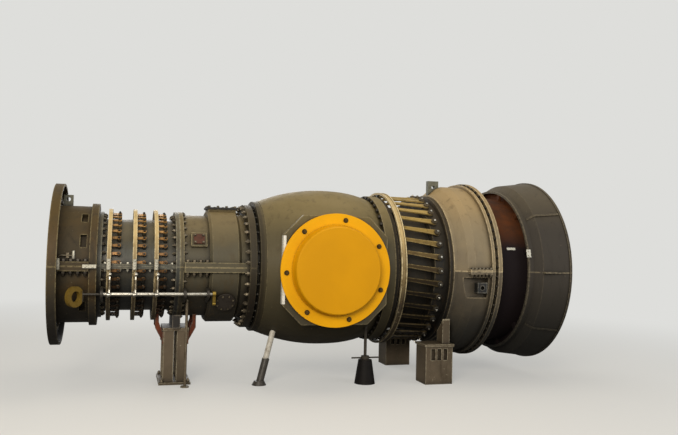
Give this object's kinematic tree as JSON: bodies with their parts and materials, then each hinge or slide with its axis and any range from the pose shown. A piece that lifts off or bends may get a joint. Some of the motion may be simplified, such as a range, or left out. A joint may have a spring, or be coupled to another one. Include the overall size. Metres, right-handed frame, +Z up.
{
  "type": "gas turbine",
  "caption": "Two-shaft industrial gas turbine on workshop stands, with variable vane rings, a blanked side combustor opening and an open exhaust.",
  "frame": {"origin": "on the floor at the middle of the front stand's base, under the shaft", "axes": "+X along the shaft from the air inlet to the exhaust, +Z up, combustor opening towards -Y"},
  "size_m": [5.335, 2.112, 2.26],
  "materials": {
    "inlet_paint": "worn dark green-grey paint over a casting",
    "hub_cast": "dusty machined casting",
    "compressor_paint": "faded blue-grey paint, oily",
    "rear_casing_paint": "dark olive-grey paint, stained",
    "lever_bronze": "tarnished",
    "ring_tan": "bare tan primer, greasy",
    "dark_steel": "oily dark steel",
    "bright_steel": "bright ground steel",
    "stained_plate": "rust-stained plate",
    "combustion_cast": "dark, heat-dulled casting",
    "cover_yellow": "satin yellow paint",
    "bolt_steel": "oxidised bolts",
    "turbine_dark": "heat-blackened casting",
    "nozzle_lever_tan": "tan oxide on steel",
    "outlet_grey": "pale warm grey, smoke-stained",
    "duct_rust": "heat-stained and rusted",
    "exhaust_grey": "dark grey heat-resistant paint",
    "stand_grey": "worn grey paint",
    "stand_orange": "worn orange-red primer",
    "jack_black": "black paint"
  },
  "bodies": {
    "engine": {"inlet_casing_upper": "inlet_paint", "inlet_casing_lower": "inlet_paint", "inlet_hub": "hub_cast", "inlet_guide_vanes": "hub_cast", "front_casing_upper": "compressor_paint", "front_casing_lower": "compressor_paint", "vane_levers_1": "lever_bronze", "vane_levers_2": "lever_bronze", "vane_levers_3": "lever_bronze", "ring_guide_pads": "dark_steel", "torque_shaft_brackets": "dark_steel", "rear_casing_upper": "rear_casing_paint", "rear_casing_lower": "rear_casing_paint", "bleed_covers": "stained_plate", "joint_spacer": "dark_steel", "combustion_casing": "combustion_cast", "combustor_cover": "cover_yellow", "cover_bolts": "bolt_steel", "turbine_casing": "turbine_dark", "nozzle_ring_pads": "dark_steel", "nozzle_levers": "nozzle_lever_tan", "outlet_casing_upper": "outlet_grey", "outlet_casing_lower": "outlet_grey", "lifting_lugs": "dark_steel", "side_trunnions": "dark_steel", "exhaust_duct": "duct_rust", "exhaust_shell_upper": "exhaust_grey", "exhaust_shell_lower": "exhaust_grey", "exhaust_hub": "duct_rust", "turbine_wheel": "bolt_steel", "front_stand": "stand_grey", "stand_saddle": "jack_black", "stand_arms": "stand_orange", "steady_rod": "stand_grey", "screw_jack": "jack_black", "rear_pedestals": "stand_grey", "inclined_prop": "bright_steel"},
    "torque_shaft": {"torque_shaft": "bright_steel"},
    "ring_link_1": {"ring_link_1": "bright_steel"},
    "ring_link_2": {"ring_link_2": "bright_steel"},
    "ring_link_3": {"ring_link_3": "bright_steel"},
    "unison_ring_1": {"unison_ring_1": "ring_tan"},
    "unison_ring_2": {"unison_ring_2": "ring_tan"},
    "unison_ring_3": {"unison_ring_3": "ring_tan"},
    "nozzle_ring": {"nozzle_ring": "ring_tan"}
  },
  "joints": [
    {"name": "ring_1_turn", "type": "hinge", "parent": "engine", "child": "unison_ring_1", "pos_m": [-0.671, 0, 1.21], "axis": [1, 0, 0], "range_deg": [-1.9, 1.9]},
    {"name": "ring_2_turn", "type": "hinge", "parent": "engine", "child": "unison_ring_2", "pos_m": [-0.433, 0, 1.21], "axis": [1, 0, 0], "range_deg": [-1.9, 1.9]},
    {"name": "ring_3_turn", "type": "hinge", "parent": "engine", "child": "unison_ring_3", "pos_m": [-0.229, 0, 1.21], "axis": [1, 0, 0], "range_deg": [-1.9, 1.9]},
    {"name": "torque_shaft_turn", "type": "hinge", "parent": "engine", "child": "torque_shaft", "pos_m": [0, -0.6, 0.947], "axis": [1, 0, 0], "range_deg": [-18, 18]},
    {"name": "link_1_swing", "type": "hinge", "parent": "torque_shaft", "child": "ring_link_1", "pos_m": [-0.671, -0.67, 0.947], "axis": [1, 0, 0], "range_deg": [-19, 19]},
    {"name": "link_2_swing", "type": "hinge", "parent": "torque_shaft", "child": "ring_link_2", "pos_m": [-0.433, -0.67, 0.947], "axis": [1, 0, 0], "range_deg": [-19, 19]},
    {"name": "link_3_swing", "type": "hinge", "parent": "torque_shaft", "child": "ring_link_3", "pos_m": [-0.229, -0.67, 0.947], "axis": [1, 0, 0], "range_deg": [-19, 19]},
    {"name": "nozzle_ring_turn", "type": "hinge", "parent": "engine", "child": "nozzle_ring", "pos_m": [2.25, 0, 1.21], "axis": [1, 0, 0], "range_deg": [-3, 3]}
  ],
  "couplings": [
    {"joint": "ring_2_turn", "follows": "ring_1_turn", "ratio": 1},
    {"joint": "ring_3_turn", "follows": "ring_1_turn", "ratio": 1},
    {"joint": "torque_shaft_turn", "follows": "ring_1_turn", "ratio": 9.29},
    {"joint": "link_1_swing", "follows": "ring_1_turn", "ratio": -9.66},
    {"joint": "link_2_swing", "follows": "ring_1_turn", "ratio": -9.66},
    {"joint": "link_3_swing", "follows": "ring_1_turn", "ratio": -9.66}
  ]
}
